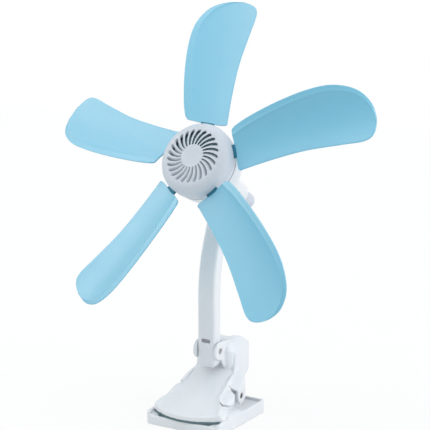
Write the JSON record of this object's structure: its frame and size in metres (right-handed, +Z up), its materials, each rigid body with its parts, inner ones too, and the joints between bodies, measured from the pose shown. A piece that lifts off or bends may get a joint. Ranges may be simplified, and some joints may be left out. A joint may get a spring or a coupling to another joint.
{
  "type": "clip fan",
  "caption": "Fan with a broad-bladed open rotor on a motor head, a tilting arm and a sprung clip that also stands on a table.",
  "frame": {"origin": "centre of the clip's underside, on the table", "axes": "+Z up, -Y the way the air leaves (front), +X to the right as seen from the front"},
  "size_m": [0.3855, 0.2034, 0.4667],
  "materials": {
    "body_plastic": "glossy white moulded plastic with a faint lavender tone",
    "blade_plastic": "smooth, slightly translucent pale sky-blue plastic",
    "knob_plastic": "satin light grey plastic",
    "pad_rubber": "soft pale rubber",
    "screw_steel": "zinc-plated steel",
    "spring_steel": "bright spring steel",
    "core_steel": "stacked steel laminations",
    "ring_steel": "drawn steel ring",
    "bearing_steel": "ground bearing steel",
    "magnet_ferrite": "dark sintered ferrite",
    "winding_copper": "enamelled copper wire",
    "bracket_aluminium": "die-cast aluminium",
    "board_laminate": "green circuit board",
    "switch_plastic": "black switch housing",
    "washer_nylon": "natural nylon"
  },
  "bodies": {
    "lower_clip": {"lower_jaw": "body_plastic", "lower_cover": "body_plastic", "cover_screws": "screw_steel", "lower_pad": "pad_rubber", "clip_pin": "screw_steel", "clip_spring": "spring_steel"},
    "upper_clip": {"upper_jaw": "body_plastic", "upper_pad": "pad_rubber", "foot_hinge_screw": "screw_steel", "foot_hinge_nut": "screw_steel"},
    "arm": {"arm_body": "body_plastic", "arm_cover": "body_plastic", "arm_screws": "screw_steel", "foot_hinge_washers": "washer_nylon", "head_hinge_washers": "washer_nylon"},
    "head": {"nacelle_right": "body_plastic", "nacelle_left": "body_plastic", "nacelle_screws": "screw_steel", "head_hinge_screw": "screw_steel", "head_hinge_nut": "screw_steel", "bell_cover": "body_plastic", "stator_bracket": "bracket_aluminium", "stator_screws": "screw_steel", "stator_core": "core_steel", "stator_windings": "winding_copper", "motor_board": "board_laminate", "front_bearing": "bearing_steel", "rear_bearing": "bearing_steel", "switch_body": "switch_plastic", "thrust_washer": "washer_nylon"},
    "rotor": {"rotor_shell": "body_plastic", "rotor_magnets": "magnet_ferrite", "rotor_ring": "ring_steel", "rotor_shaft": "bearing_steel", "shaft_circlip": "spring_steel", "blade_1": "blade_plastic", "blade_2": "blade_plastic", "blade_3": "blade_plastic", "blade_4": "blade_plastic", "blade_5": "blade_plastic"},
    "knob": {"speed_knob": "knob_plastic", "switch_shaft": "knob_plastic"}
  },
  "joints": [
    {"name": "clip_open", "type": "hinge", "parent": "lower_clip", "child": "upper_clip", "pos_m": [0, 0.0195, 0.026], "axis": [-1, 0, 0], "range_deg": [0, 25], "stiffness_Nm_per_rad": 2, "springref_deg": -34.38, "deforming": ["clip_spring"]},
    {"name": "arm_tilt", "type": "hinge", "parent": "upper_clip", "child": "arm", "pos_m": [0, 0.0108, 0.078], "axis": [1, 0, 0], "range_deg": [-15, 45]},
    {"name": "head_tilt", "type": "hinge", "parent": "arm", "child": "head", "pos_m": [0, 0.04006, 0.24251], "axis": [-1, 0, 0], "range_deg": [-25, 45]},
    {"name": "rotor_spin", "type": "hinge", "parent": "head", "child": "rotor", "pos_m": [0, -0.01438, 0.29725], "axis": [0, 0.878, -0.4787], "continuous": true},
    {"name": "knob_turn", "type": "hinge", "parent": "head", "child": "knob", "pos_m": [0, 0.08659, 0.2422], "axis": [0, 0.878, -0.4787], "range_deg": [0, 120]}
  ]
}
